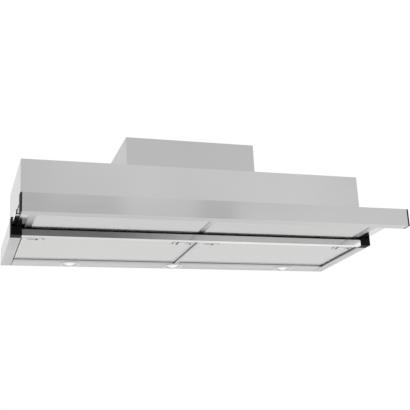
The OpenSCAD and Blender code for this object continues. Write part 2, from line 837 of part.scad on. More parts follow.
module casing_screws() color(bright)
    for (side = [-1, 1], i = [-1:1]) {
        bar_z(side * screw_x, i * screw_pitch, [-2 * sheet, sheet], screw_r);
        bar_z(side * screw_x, i * screw_pitch, [sheet, sheet + screw_head_h], screw_head_r);
    }

module visor_front() color(steel)
    difference() {
        along_x([-profile_x + cap_t, profile_x - cap_t])
            fold([[visor_back - sheet, profile_low], [visor_face, profile_low],
                [visor_face, profile_top - sheet], [visor_back - sheet, profile_top - sheet]],
                sheet);
        switch_slots([profile_top - over, profile_top + over]);
    }

// The two slots that the thumb pieces run in
module switch_slots(z) {
    slot_x([switch_x - stem_w, switch_x + speed_travel + stem_w], switch_y, z, stem_w / 2 + gap);
    slot_x([switch_x - switch_pitch - stem_w, switch_x - switch_pitch + lamp_travel + stem_w],
        switch_y, z, stem_w / 2 + gap);
}

module visor_backplate() color(steel)
    along_x([-profile_x + cap_t + plug_l + seam, profile_x - cap_t - plug_l - seam])
        fold([[visor_back - foot_w / 2, profile_low + sheet], [visor_back - sheet, profile_low + sheet],
            [visor_back - sheet, profile_top - 2 * sheet],
            [visor_back - foot_w / 2, profile_top - 2 * sheet]], sheet);

module end_cap(side) color(black)
    on_side(side) {
        block([profile_x - cap_t, profile_x], [visor_face, visor_back],
            [profile_low, profile_top]);
        difference() {
            block([profile_x - cap_t - plug_l, profile_x - cap_t],
                [visor_face + sheet + tongue_gap, visor_back - tongue_gap],
                [profile_low + sheet + tongue_gap, profile_top - sheet - tongue_gap]);
            block([profile_x - cap_t - plug_l - over, profile_x - cap_t],
                [visor_face + 3 * sheet, visor_back - 3 * sheet],
                [profile_low + 3 * sheet, profile_top - 3 * sheet]);
        }
    }
module end_cap_left() end_cap(-1);
module end_cap_right() end_cap(1);

// Limits of one filter opening in the visor, counted from the middle outwards
window_in = visor_strip / 2;
window_out = rim_x - rim_w;
window_front = visor_back + rim_front;
window_back = visor_end - rim_rear;

module visor_tray() color(bright)
    difference() {
        block([-rim_x, rim_x], [visor_back, visor_end], [visor_low, visor_top]);
        block([-rim_x + sheet, rim_x - sheet], [visor_back + sheet, visor_end - sheet],
            [visor_low + sheet, visor_top + over]);
        for (side = [-1, 1]) on_side(side)
            block([window_in, window_out], [window_front, window_back],
                [visor_low - over, visor_low + over]);
    }

module carrier(side) color(bright)
    on_side(side) along_y([visor_back, visor_end]) difference() {
        translate([carrier_in, visor_low]) square([carrier_w, visor_h]);
        translate([carrier_in + sheet, visor_low + sheet])
            square([carrier_w - 2 * sheet, visor_h - 2 * sheet]);
    }
module carrier_left() carrier(-1);
module carrier_right() carrier(1);

module visor_lip() color(black)
    along_x([-rim_x, rim_x])
        polygon([[visor_end, visor_low], [visor_end + lip_d, visor_low + lip_d / 2],
            [visor_end + lip_d / 2, visor_low + lip_d], [visor_end, visor_top - sheet]]);

// A filter frame: a shallow ring with lips above and below the mesh
module frame_ring(x, y, z) {
    inset = filter_wall;
    difference() {
        block(x, y, z);
        block([x[0] + inset, x[1] - inset], [y[0] + inset, y[1] - inset],
            [z[0] + inset, z[1] - inset]);
        block([x[0] + filter_lip, x[1] - filter_lip], [y[0] + filter_lip, y[1] - filter_lip],
            [z[0] - over, z[1] + over]);
    }
}

// Mesh pad seen from the front: a flat sheet with a corrugated one on top
module mesh_outline(x, z) {
    waves = floor((x[1] - x[0]) / mesh_pitch);
    half = (x[1] - x[0]) / waves / 2;
    difference() {
        polygon(concat([[x[1], z[0]], [x[0], z[0]]], [for (i = [0:2 * waves])
            [x[0] + i * half, i % 2 == 0 ? z[0] + 2 * mesh_t : z[1]]]));
        for (i = [1:2:2 * waves])
            polygon([[x[0] + (i - 1) * half + mesh_t, z[0] + mesh_t],
                [x[0] + i * half, z[1] - 3 * mesh_t / 2],
                [x[0] + (i + 1) * half - mesh_t, z[0] + mesh_t]]);
    }
}

visor_filter_z = [visor_low + sheet, visor_low + sheet + filter_t];
visor_filter_x = [seam, rim_x - sheet - seam];
visor_filter_y = [visor_back + sheet + seam, visor_end - sheet - seam];

module visor_filter_frame(side) color(alloy)
    on_side(side) frame_ring(visor_filter_x, visor_filter_y, visor_filter_z);
module visor_filter_frame_left() visor_filter_frame(-1);
module visor_filter_frame_right() visor_filter_frame(1);

// The mesh fills the groove between the frame's lips
module visor_filter_mesh(side) color(alloy)
    on_side(side)
        along_y([visor_filter_y[0] + filter_wall, visor_filter_y[1] - filter_wall])
            mesh_outline([visor_filter_x[0] + filter_wall, visor_filter_x[1] - filter_wall],
                [visor_filter_z[0] + filter_wall, visor_filter_z[1] - filter_wall]);
module visor_filter_mesh_left() visor_filter_mesh(-1);
module visor_filter_mesh_right() visor_filter_mesh(1);

module_top = profile_top - sheet;
module_x = [switch_x - switch_pitch - thumb_l, switch_x - switch_pitch - thumb_l + module_l];
foot_t = 2 * sheet;

module switch_module() color(black)
    difference() {
        block(module_x, [visor_face + 2 * sheet, visor_back - foot_w / 2 - seam],
            [module_top - module_h, module_top]);
        switch_slots([module_top - module_h / 2, module_top + over]);
        for (place = [[switch_x, speed_travel], [switch_x - switch_pitch, lamp_travel]])
            block([place[0] - thumb_l / 2 - gap, place[0] + place[1] + thumb_l / 2 + gap],
                [switch_y - thumb_w / 2 - gap, switch_y + thumb_w / 2 + gap],
                [module_top - module_h / 2 - foot_t - gap, module_top - module_h / 2 + gap]);
    }

// A thumb piece with its stem and its foot inside the module
module slider(x) color(black) {
    difference() {
        block([x - thumb_l / 2, x + thumb_l / 2], [switch_y - thumb_w / 2, switch_y + thumb_w / 2],
            [profile_top + gap, profile_top + gap + thumb_h]);
        for (i = [-1:1])
            translate([x + i * thumb_l / 4 - gap, switch_y - thumb_w, profile_top + thumb_h])
                cube([2 * gap, 2 * thumb_w, thumb_h]);
    }
    bar_z(x, switch_y, [module_top - module_h / 2 - foot_t, profile_top + thumb_h], stem_w / 2);
    block([x - thumb_l / 2, x + thumb_l / 2], [switch_y - thumb_w / 2, switch_y + thumb_w / 2],
        [module_top - module_h / 2 - foot_t, module_top - module_h / 2]);
}
module speed_slider() slider(switch_x);
module lamp_slider() slider(switch_x - switch_pitch);

// Places of the left ends of the two lower filters
filter_places = [-filter_out, filter_in];
catch_z = filter_low + filter_wall + gap;

// One catch plate's housing, between the frame's lips
module catch_housing(x)
    block(x, [catch_row - catch_plate_d / 2, catch_row + catch_plate_d / 2],
        [filter_low, filter_high]);

// The finger slot, or the cup round it
module finger_cup(wall, z)
    block([filter_w - finger_in - finger_w / 2 - wall, filter_w - finger_in + finger_w / 2 + wall],
        [catch_row - finger_l / 2 - wall, catch_row + finger_l / 2 + wall], z);

// The space that a sliding bar runs in
module catch_space(x)
    block(x, [catch_row - bar_w / 2 - gap, catch_row + bar_w / 2 + gap],
        [catch_z - gap, catch_z + bar_t + gap]);

module filter_frame(i) color(alloy)
    translate([filter_places[i], 0, 0]) difference() {
        union() {
            frame_ring([0, filter_w], [filter_front, hinge_y + filter_wall],
                [filter_low, filter_high]);
            bar_x([0, filter_w], hinge_y, filter_mid, filter_r);
            bar_x([-pin_l, filter_w + pin_l], hinge_y, filter_mid, pin_r);
            catch_housing([0, left_plate_l]);
            catch_housing([filter_w - right_plate_l, filter_w]);
            finger_cup(filter_wall, [filter_low, filter_high]);
        }
        catch_space([-over, left_pin_in + catch_travel + bar_w / 2 + gap]);
        slot_x([left_slot_in, left_pin_in + catch_travel + slot_w / 2], catch_row,
            [filter_low - over, catch_z], slot_w / 2);
        catch_space([filter_w - right_pin_in - catch_travel - bar_w / 2 - gap, filter_w + over]);
        slot_x([filter_w - right_slot_in, filter_w - right_pin_in + slot_w / 2], catch_row,
            [filter_low - over, catch_z], slot_w / 2);
        finger_cup(0, [filter_low - over, filter_low + finger_h]);
    }
module filter_frame_left() filter_frame(0);
module filter_frame_right() filter_frame(1);

module filter_mesh(i) color(alloy)
    translate([filter_places[i], 0, 0]) difference() {
        along_y([filter_front + filter_wall, hinge_y - filter_r])
            mesh_outline([filter_wall, filter_w - filter_wall],
                [filter_low + filter_wall, filter_high - filter_wall]);
        for (x = [[0, left_plate_l], [filter_w - right_plate_l, filter_w]])
            block([x[0] - over, x[1] + over],
                [catch_row - catch_plate_d / 2, catch_row + catch_plate_d / 2],
                [filter_low - over, filter_high + over]);
        finger_cup(filter_wall, [filter_low - over, filter_high + over]);
    }
module filter_mesh_left() filter_mesh(0);
module filter_mesh_right() filter_mesh(1);

// A sliding bar with its nose and its pull pin, for either end of a filter
module catch_left_end(i) color(black)
    translate([filter_places[i], 0, 0]) {
        block([nose_gap - (i == 0 ? filter_gap : seam), left_pin_in + bar_w / 2],
            [catch_row - bar_w / 2, catch_row + bar_w / 2], [catch_z, catch_z + bar_t]);
        bar_z(left_pin_in, catch_row, [filter_low - pull_drop, catch_z + bar_t], pull_r);
    }
module catch_right_end(i) color(black)
    translate([filter_places[i], 0, 0]) {
        block([filter_w - right_pin_in - bar_w / 2,
            filter_w - nose_gap + (i == 0 ? seam : filter_gap)],
            [catch_row - bar_w / 2, catch_row + bar_w / 2], [catch_z, catch_z + bar_t]);
        bar_z(filter_w - right_pin_in, catch_row, [filter_low - pull_drop, catch_z + bar_t],
            pull_r);
    }
module catch_left_outer() catch_left_end(0);
module catch_left_inner() catch_right_end(0);
module catch_right_inner() catch_left_end(1);
module catch_right_outer() catch_right_end(1);

casing_wrap();
casing_top();
casing_back();
motor_housing();
side_rail_left();
side_rail_right();
rear_rail();
front_channel();
channel_seal();
centre_divider();
lamp_panel();
corner_block_left();
corner_block_right();
lamp_rings();
lamp_lenses();
lamp_bodies();
lamp_driver();
slide_fixed_left();
slide_fixed_right();
slide_middle_left();
slide_middle_right();
slide_inner_left();
slide_inner_right();
scroll_housing();
fan_wheel();
motor_shaft();
fan_motor();
duct_collar();
flap_front();
flap_rear();
capacitor();
terminal_box();
cable_gland();
visor_switch();
casing_screws();
visor_front();
visor_backplate();
end_cap_left();
end_cap_right();
visor_tray();
carrier_left();
carrier_right();
visor_lip();
visor_filter_frame_left();
visor_filter_frame_right();
visor_filter_mesh_left();
visor_filter_mesh_right();
switch_module();
speed_slider();
lamp_slider();
filter_frame_left();
filter_frame_right();
filter_mesh_left();
filter_mesh_right();
catch_left_outer();
catch_left_inner();
catch_right_inner();
catch_right_outer();
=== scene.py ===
import json
import math
import bmesh
import bpy
from mathutils import Matrix, Vector
from mathutils.bvhtree import BVHTree


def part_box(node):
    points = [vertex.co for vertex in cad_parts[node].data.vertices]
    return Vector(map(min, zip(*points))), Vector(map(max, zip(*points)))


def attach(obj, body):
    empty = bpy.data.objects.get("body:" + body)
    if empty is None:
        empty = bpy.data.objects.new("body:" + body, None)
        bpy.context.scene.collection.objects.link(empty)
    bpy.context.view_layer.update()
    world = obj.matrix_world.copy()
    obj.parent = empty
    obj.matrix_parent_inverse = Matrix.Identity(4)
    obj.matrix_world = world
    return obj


# Pull out range hood in stainless steel, seen from below with its visor out.
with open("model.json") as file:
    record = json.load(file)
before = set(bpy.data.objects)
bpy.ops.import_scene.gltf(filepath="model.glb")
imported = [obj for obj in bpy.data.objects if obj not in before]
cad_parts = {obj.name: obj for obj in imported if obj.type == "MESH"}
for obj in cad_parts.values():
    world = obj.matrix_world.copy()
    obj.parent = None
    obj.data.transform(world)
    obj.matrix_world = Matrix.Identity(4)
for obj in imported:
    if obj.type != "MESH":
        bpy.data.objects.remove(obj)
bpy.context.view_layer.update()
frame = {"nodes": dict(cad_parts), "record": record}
cadNodes = frame["nodes"]
scene = bpy.context.scene
mm = 0.001
print("stage: frame loaded,", len(cadNodes), "nodes")


def linearColour(hexText):
    # sRGB hex to the linear values that the shaders take
    values = [int(hexText[i:i + 2], 16) / 255 for i in (1, 3, 5)]
    return [v / 12.92 if v <= 0.04045 else ((v + 0.055) / 1.055) ** 2.4 for v in values] + [1.0]


def addNode(tree, kind, settings=None, inputs=None, links=None):
    # one node with its attributes, its socket values and the sockets that feed it
    node = tree.nodes.new(kind)
    for name, value in (settings or {}).items():
        setattr(node, name, value)
    for name, value in (inputs or {}).items():
        node.inputs[name].default_value = value
    for name, socket in (links or {}).items():
        tree.links.new(socket, node.inputs[name])
    return node


def newMaterial(name):
    # an empty material, its output and the object coordinates that its patterns are placed by
    material = bpy.data.materials.new(name)
    material.use_nodes = True
    tree = material.node_tree
    tree.nodes.clear()
    output = addNode(tree, "ShaderNodeOutputMaterial")
    place = addNode(tree, "ShaderNodeTexCoord").outputs["Object"]
    return material, tree, output, place


def colourPort(node, name):
    # the colour socket of a mix node, which also has number sockets of that name
    return [port for port in node.inputs if port.name == name and port.type == "RGBA"][0]


def colourResult(node):
    return [port for port in node.outputs if port.type == "RGBA"][0]


def finishMaterial(tree, output, inputs, links):
    # the surface shader with its values and links
    shader = addNode(tree, "ShaderNodeBsdfPrincipled", inputs=inputs, links=links)
    tree.links.new(shader.outputs["BSDF"], output.inputs["Surface"])


steel = {
    "colour": "#b9b9ba",
    "roughness": 0.24,
    "grainMm": 1.1,        # spacing of the belt's lines, drawn coarse enough to show
    "grainLengthMm": 120,  # length of one line
    "grainDepthMm": 0.01,
    "grainBump": 0.1,
    "streakShade": 0.965,  # the darkest line's share of the sheet's shade
    "cloudMm": 180,        # slow change over a rolled sheet
    "cloudShade": 0.97,
    "glossFall": 0.04,     # roughness below and above the sheet's own, line by line
    "glossRise": 0.05,
    "anisotropy": 0.5,
    "quarterTurn": 0.25,   # turns the stretched highlight across the lines
    "edgeMm": 0.1,         # half the width over which a painted shade or painted highlight begins
}


def grainCoordinates(tree, place, acrossMm, alongMm):
    # lines that run level round upright faces, and along X on level faces
    facing = addNode(tree, "ShaderNodeTexCoord").outputs["Normal"]
    axes = addNode(tree, "ShaderNodeSeparateXYZ", links={"Vector": place})
    turned = addNode(tree, "ShaderNodeSeparateXYZ", links={"Vector": facing})
    level = addNode(tree, "ShaderNodeMath", settings={"operation": "ABSOLUTE"},
                    links={0: turned.outputs["Z"]})
    depth = addNode(tree, "ShaderNodeMath", settings={"operation": "MULTIPLY"},
                    links={0: axes.outputs["Y"], 1: level.outputs["Value"]})
    across = addNode(tree, "ShaderNodeMath", settings={"operation": "ADD"},
                     links={0: axes.outputs["Z"], 1: depth.outputs["Value"]})
    rest = addNode(tree, "ShaderNodeMath", settings={"operation": "SUBTRACT"},
                   links={0: axes.outputs["Y"], 1: depth.outputs["Value"]})
    along = addNode(tree, "ShaderNodeMath", settings={"operation": "ADD"},
                    links={0: axes.outputs["X"], 1: rest.outputs["Value"]})
    joined = addNode(tree, "ShaderNodeCombineXYZ",
                     links={"X": along.outputs["Value"], "Y": across.outputs["Value"]})
    scale = (1 / (alongMm * mm), 1 / (acrossMm * mm), 1)
    return addNode(tree, "ShaderNodeMapping", inputs={"Scale": scale},
                   links={"Vector": joined.outputs["Vector"]}).outputs["Vector"]


def brushedStainless(name, colour=steel["colour"], roughness=steel["roughness"], paintedShares=()):
    # rolled stainless sheet, belt ground: soft stretched reflections and hairlines along the belt;
    # the listed places (axis, mm, share) are where the sheet's colour is multiplied by that share:
    # painted shade in a seam or high on a flange, a painted highlight on a flange's lower edge
    material, tree, output, place = newMaterial(name)
    lines = grainCoordinates(tree, place, steel["grainMm"], steel["grainLengthMm"])
    grain = addNode(tree, "ShaderNodeTexNoise", inputs={"Scale": 1.0, "Detail": 2.0},
                    links={"Vector": lines})
    cloud = addNode(tree, "ShaderNodeTexNoise",
                    inputs={"Scale": 1 / (steel["cloudMm"] * mm), "Detail": 2.0},
                    links={"Vector": place})
    gloss = addNode(tree, "ShaderNodeMapRange",
                    inputs={"From Min": 0.25, "From Max": 0.75,
                            "To Min": roughness - steel["glossFall"],
                            "To Max": roughness + steel["glossRise"]},
                    links={"Value": grain.outputs["Fac"]})
    streak = addNode(tree, "ShaderNodeMapRange",
                     inputs={"From Min": 0.3, "From Max": 0.7,
                             "To Min": steel["streakShade"], "To Max": 1.0},
                     links={"Value": grain.outputs["Fac"]})
    shade = addNode(tree, "ShaderNodeMapRange",
                    inputs={"From Min": 0.3, "From Max": 0.7,
                            "To Min": steel["cloudShade"], "To Max": 1.0},
                    links={"Value": cloud.outputs["Fac"]})
    light = addNode(tree, "ShaderNodeMath", settings={"operation": "MULTIPLY"},
                    links={0: streak.outputs["Result"], 1: shade.outputs["Result"]})
    axes = addNode(tree, "ShaderNodeSeparateXYZ", links={"Vector": place})
    # each place paints light or shade into the colour past it
    for axis, fromMm, paintedShare in paintedShares:
        where = axes.outputs[axis]
        if axis == "X":
            where = addNode(tree, "ShaderNodeMath", settings={"operation": "ABSOLUTE"},
                            links={0: where}).outputs["Value"]
        paintedStep = addNode(tree, "ShaderNodeMapRange",
                       inputs={"From Min": (fromMm - steel["edgeMm"]) * mm,
                               "From Max": (fromMm + steel["edgeMm"]) * mm,
                               "To Min": 1.0, "To Max": paintedShare},
                       links={"Value": where})
        light = addNode(tree, "ShaderNodeMath", settings={"operation": "MULTIPLY"},
                        links={0: light.outputs["Value"], 1: paintedStep.outputs["Result"]})
    tint = addNode(tree, "ShaderNodeMix", settings={"data_type": "RGBA", "blend_type": "MULTIPLY"},
                   inputs={0: 1.0})
    colourPort(tint, "A").default_value = linearColour(colour)
    tree.links.new(light.outputs["Value"], colourPort(tint, "B"))
    bump = addNode(tree, "ShaderNodeBump",
                   inputs={"Strength": steel["grainBump"],
                           "Distance": steel["grainDepthMm"] * mm},
                   links={"Height": grain.outputs["Fac"]})
    finishMaterial(tree, output,
                   {"Metallic": 1.0, "Anisotropic": steel["anisotropy"],
                    "Anisotropic Rotation": steel["quarterTurn"]},
                   {"Base Color": colourResult(tint), "Roughness": gloss.outputs["Result"],
                    "Normal": bump.outputs["Normal"]})
    return material


bright = {
    "colour": "#d2d2d3",
    "roughness": 0.13,
    "glossFall": 0.03,
    "glossRise": 0.04,
    "waveMm": 90,          # one wave along a folded strip
    "waveDepthMm": 0.15,
    "waveBump": 0.1,
}
# painted reflection on the front channel: darker towards the left end, lighter towards the right,
# with a painted highlight on its lowest face
channelPaintedReflection = {
    "left": "#858586",
    "right": "#dfdfe0",
    "fromMm": -260,        # where its painted reflection goes from the left shade to the right, along X
    "toMm": 90,
    # below this height the lowest face gets a painted highlight
    "paintedLightBelowMm": -41.8,
    "paintedLightShare": 0.75,    # how far the painted highlight on the lowest face goes to the right end's shade
    "paintedLightEdgeMm": 0.2,
}


def stripPaintedReflection(tree, place, strip):
    # a long strip's painted reflection, from one end's shade to the other's; its lowest face gets a
    # painted highlight
    axes = addNode(tree, "ShaderNodeSeparateXYZ", links={"Vector": place})
    along = addNode(tree, "ShaderNodeMapRange", settings={"interpolation_type": "SMOOTHSTEP"},
                    inputs={"From Min": strip["fromMm"] * mm, "From Max": strip["toMm"] * mm},
                    links={"Value": axes.outputs["X"]})
    paintedLowLight = addNode(tree, "ShaderNodeMapRange",
                    inputs={"From Min": strip["paintedLightBelowMm"] * mm,
                            "From Max": (strip["paintedLightBelowMm"] + strip["paintedLightEdgeMm"]) * mm,
                            "To Min": strip["paintedLightShare"], "To Max": 0.0},
                    links={"Value": axes.outputs["Z"]})
    paintedMix = addNode(tree, "ShaderNodeMath", settings={"operation": "MAXIMUM"},
                    links={0: along.outputs["Result"], 1: paintedLowLight.outputs["Result"]})
    shade = addNode(tree, "ShaderNodeValToRGB", links={"Fac": paintedMix.outputs["Value"]})
    shade.color_ramp.elements[0].color = linearColour(strip["left"])
    shade.color_ramp.elements[1].color = linearColour(strip["right"])
    return shade.outputs["Color"]


def brightAnnealedStainless(name, colour=bright["colour"], roughness=bright["roughness"],
                            strip=None):
    # bright annealed sheet: nearly a mirror, with faint waves from the folding
    material, tree, output, place = newMaterial(name)
    wave = addNode(tree, "ShaderNodeTexNoise",
                   inputs={"Scale": 1 / (bright["waveMm"] * mm), "Detail": 1.0},
                   links={"Vector": place})
    gloss = addNode(tree, "ShaderNodeMapRange",
                    inputs={"From Min": 0.3, "From Max": 0.7,
                            "To Min": roughness - bright["glossFall"],
                            "To Max": roughness + bright["glossRise"]},
                    links={"Value": wave.outputs["Fac"]})
    bump = addNode(tree, "ShaderNodeBump",
                   inputs={"Strength": bright["waveBump"], "Distance": bright["waveDepthMm"] * mm},
                   links={"Height": wave.outputs["Fac"]})
    inputs = {"Metallic": 1.0}
    links = {"Roughness": gloss.outputs["Result"], "Normal": bump.outputs["Normal"]}
    # a strip paints a reflection and a highlight into the colour
    if strip:
        links["Base Color"] = stripPaintedReflection(tree, place, strip)
    else:
        inputs["Base Color"] = linearColour(colour)
    finishMaterial(tree, output, inputs, links)
    return material


zinc = {"spangleMm": 7, "middle": "#b9bcc0", "rim": "#a3a7ab", "smooth": 0.3, "rough": 0.48}


def galvanisedSteel(name):
    # zinc coated sheet: pale patches of crystals and a dull gloss
    material, tree, output, place = newMaterial(name)
    spangle = addNode(tree, "ShaderNodeTexVoronoi", inputs={"Scale": 1 / (zinc["spangleMm"] * mm)},
                      links={"Vector": place})
    shade = addNode(tree, "ShaderNodeValToRGB", links={"Fac": spangle.outputs["Distance"]})
    shade.color_ramp.elements[0].color = linearColour(zinc["middle"])
    shade.color_ramp.elements[1].color = linearColour(zinc["rim"])
    gloss = addNode(tree, "ShaderNodeMapRange",
                    inputs={"To Min": zinc["smooth"], "To Max": zinc["rough"]},
                    links={"Value": spangle.outputs["Distance"]})
    finishMaterial(tree, output, {"Metallic": 1.0},
                   {"Base Color": shade.outputs["Color"], "Roughness": gloss.outputs["Result"]})
    return material


profile = {
    "colour": "#dcdcdc",
    "smooth": 0.3,
    "rough": 0.45,
    "linesPerMetre": (20, 2000, 2000),  # long along X, fine across it
}


def drawingLines(tree, place):
    # the die's fine lines along a profile, as a change of roughness
    drawn = addNode(tree, "ShaderNodeMapping", inputs={"Scale": profile["linesPerMetre"]},
                    links={"Vector": place})
    lines = addNode(tree, "ShaderNodeTexNoise", inputs={"Scale": 1.0, "Detail": 2.0},
                    links={"Vector": drawn.outputs["Vector"]})
    return addNode(tree, "ShaderNodeMapRange",
                   inputs={"To Min": profile["smooth"], "To Max": profile["rough"]},
                   links={"Value": lines.outputs["Fac"]}).outputs["Result"]


def extrudedAluminium(name, colour=profile["colour"]):
    # anodised profile: pale satin with fine drawing lines
    material, tree, output, place = newMaterial(name)
    gloss = drawingLines(tree, place)
    finishMaterial(tree, output, {"Base Color": linearColour(colour), "Metallic": 1.0},
                   {"Roughness": gloss})
    return material


filterFrame = {
    "outerMm": 422.5,   # from the middle of the hood to a filter's outer end
    "innerMm": 4.5,     # and to its end at the divider
    "paintedShadeMm": 1.2,      # width of the painted shade along both ends
    "leftPaintedShadeMm": 2.3,  # and along the left filter's outer end
    "paintedShadeEdgeMm": 0.1,   # half the width over which the painted shade begins
    # colour of the painted shade
    "rim": "#2e2e2f",
}


def frameAluminiumPaintedShade(name, outerPaintedShadeMm=filterFrame["paintedShadeMm"]):
    # the same profile round a filter, with painted shade along both ends where the gaps beside it
    # lie in shade
    material, tree, output, place = newMaterial(name)
    gloss = drawingLines(tree, place)
    axes = addNode(tree, "ShaderNodeSeparateXYZ", links={"Vector": place})
    across = addNode(tree, "ShaderNodeMath", settings={"operation": "ABSOLUTE"},
                     links={0: axes.outputs["X"]})
    low = filterFrame["innerMm"] + filterFrame["paintedShadeMm"]
    high = filterFrame["outerMm"] - outerPaintedShadeMm
    half = (high - low) / 2
    middle = (high + low) / 2
    fromMiddle = addNode(tree, "ShaderNodeMath", settings={"operation": "SUBTRACT"},
                         inputs={1: middle * mm}, links={0: across.outputs["Value"]})
    away = addNode(tree, "ShaderNodeMath", settings={"operation": "ABSOLUTE"},
                   links={0: fromMiddle.outputs["Value"]})
    # mask of the painted shade along both ends
    rim = addNode(tree, "ShaderNodeMapRange",
                  inputs={"From Min": (half - filterFrame["paintedShadeEdgeMm"]) * mm,
                          "From Max": (half + filterFrame["paintedShadeEdgeMm"]) * mm},
                  links={"Value": away.outputs["Value"]})
    shade = addNode(tree, "ShaderNodeValToRGB", links={"Fac": rim.outputs["Result"]})
    shade.color_ramp.elements[0].color = linearColour(profile["colour"])
    shade.color_ramp.elements[1].color = linearColour(filterFrame["rim"])
    finishMaterial(tree, output, {"Metallic": 1.0},
                   {"Base Color": shade.outputs["Color"], "Roughness": gloss})
    return material


foil = {
    "pitchMm": 6.0,       # one diamond across, drawn coarse enough to show
    "slantShare": 0.55,   # a diamond's height as a share of its width
    "strandMm": 0.9,      # width of a strand
    "standMm": 0.6,       # height of the strands below the layers behind
    "inMm": 3.5,          # distance kept from the frame's lip
    "probeMm": 5,         # how far below the layers a look for them starts
    "flatMm": 0.5,        # a face further off than this is not the layers
    "brightTo": 0.35,     # share of the way into a diamond that stays bright
    "darkFrom": 0.75,
    "bumpMm": 0.6,
    "bump": 0.5,
    "roughness": 0.42,
}


def expandedAluminium(name, colour, between):
    # layers of slit and stretched foil: bright strands over small shaded diamonds
    material, tree, output, place = newMaterial(name)
    axes = addNode(tree, "ShaderNodeSeparateXYZ", links={"Vector": place})
    turns = math.pi / (foil["pitchMm"] * mm)
    waves = []
    for sign in (1, -1):
        across = addNode(tree, "ShaderNodeMath", settings={"operation": "MULTIPLY"},
                         inputs={1: sign / foil["slantShare"]}, links={0: axes.outputs["Y"]})
        along = addNode(tree, "ShaderNodeMath", settings={"operation": "ADD"},
                        links={0: axes.outputs["X"], 1: across.outputs["Value"]})
        angle = addNode(tree, "ShaderNodeMath", settings={"operation": "MULTIPLY"},
                        inputs={1: turns}, links={0: along.outputs["Value"]})
        wave = addNode(tree, "ShaderNodeMath", settings={"operation": "SINE"},
                       links={0: angle.outputs["Value"]})
        waves.append(addNode(tree, "ShaderNodeMath", settings={"operation": "ABSOLUTE"},
                             links={0: wave.outputs["Value"]}))
    hole = addNode(tree, "ShaderNodeMath", settings={"operation": "MINIMUM"},
                   links={0: waves[0].outputs["Value"], 1: waves[1].outputs["Value"]})
    shade = addNode(tree, "ShaderNodeValToRGB", links={"Fac": hole.outputs["Value"]})
    shade.color_ramp.elements[0].position = foil["brightTo"]
    shade.color_ramp.elements[0].color = linearColour(colour)
    shade.color_ramp.elements[1].position = foil["darkFrom"]
    shade.color_ramp.elements[1].color = linearColour(between)
    bump = addNode(tree, "ShaderNodeBump", settings={"invert": True},
                   inputs={"Strength": foil["bump"], "Distance": foil["bumpMm"] * mm},
                   links={"Height": hole.outputs["Value"]})
    finishMaterial(tree, output, {"Metallic": 1.0, "Roughness": foil["roughness"]},
                   {"Base Color": shade.outputs["Color"], "Normal": bump.outputs["Normal"]})
    return material


moulding = {
    "index": 1.53,
    "grainMm": 0.8,
    "grainDepthMm": 0.05,
    "grainBump": 0.15,
    "glossSpread": 0.08,
}


def mouldedPlastic(name, colour, roughness, level=0.5):
    # ABS with a spark eroded grain: dull, with a faint pebble that breaks up its shine
    material, tree, output, place = newMaterial(name)
    grain = addNode(tree, "ShaderNodeTexNoise",
                    inputs={"Scale": 1 / (moulding["grainMm"] * mm), "Detail": 3.0},
                    links={"Vector": place})
    gloss = addNode(tree, "ShaderNodeMapRange",
                    inputs={"To Min": roughness - moulding["glossSpread"],
                            "To Max": roughness + moulding["glossSpread"]},
                    links={"Value": grain.outputs["Fac"]})
    bump = addNode(tree, "ShaderNodeBump",
                   inputs={"Strength": moulding["grainBump"],
                           "Distance": moulding["grainDepthMm"] * mm},
                   links={"Height": grain.outputs["Fac"]})
    finishMaterial(tree, output, {"Base Color": linearColour(colour), "IOR": moulding["index"],
                                  "Specular IOR Level": level},
                   {"Roughness": gloss.outputs["Result"], "Normal": bump.outputs["Normal"]})
    return material


enamel = {"colour": "#232427", "index": 1.5, "peelMm": 2.5, "peelDepthMm": 0.1, "peelBump": 0.2,
          "smooth": 0.28, "rough": 0.42}


def paintedIron(name):
    # stoved black paint on a rough casting: half glossy, with a soft orange peel
    material, tree, output, place = newMaterial(name)
    peel = addNode(tree, "ShaderNodeTexNoise",
                   inputs={"Scale": 1 / (enamel["peelMm"] * mm), "Detail": 2.0},
                   links={"Vector": place})
    gloss = addNode(tree, "ShaderNodeMapRange",
                    inputs={"To Min": enamel["smooth"], "To Max": enamel["rough"]},
                    links={"Value": peel.outputs["Fac"]})
    bump = addNode(tree, "ShaderNodeBump",
                   inputs={"Strength": enamel["peelBump"], "Distance": enamel["peelDepthMm"] * mm},
                   links={"Height": peel.outputs["Fac"]})
    finishMaterial(tree, output,
                   {"Base Color": linearColour(enamel["colour"]), "IOR": enamel["index"]},
                   {"Roughness": gloss.outputs["Result"], "Normal": bump.outputs["Normal"]})
    return material


rubber = {"dark": "#060606", "bloom": "#0f0f10", "bloomMm": 14, "roughness": 0.7, "index": 1.5,
          "level": 0.2}


def sealRubber(name):
    # extruded EPDM: black and matt with a slight bloom
    material, tree, output, place = newMaterial(name)
    bloom = addNode(tree, "ShaderNodeTexNoise",
                    inputs={"Scale": 1 / (rubber["bloomMm"] * mm), "Detail": 4.0},
                    links={"Vector": place})
    shade = addNode(tree, "ShaderNodeValToRGB", links={"Fac": bloom.outputs["Fac"]})
    shade.color_ramp.elements[0].color = linearColour(rubber["dark"])
    shade.color_ramp.elements[1].color = linearColour(rubber["bloom"])
    finishMaterial(tree, output,
                   {"Roughness": rubber["roughness"], "IOR": rubber["index"],
                    "Specular IOR Level": rubber["level"]},
                   {"Base Color": shade.outputs["Color"]})
    return material


lampGlow = {
    "placesMm": [-277, 0, 318],  # the lamps along X
    "depthMm": 121,              # and along Y
    "coreMm": 9,        # even bright middle
    "fadeMm": 17,       # where the glow has died away
    "core": "#f8f8f8",
    # glow of the lens's rim: painted light that lifts its shade
    "rim": "#9c9c9c",
    "strength": 0.5,
    "acrylic": "#c8c8c6",
    "index": 1.49,
    "roughness": 0.45,
}


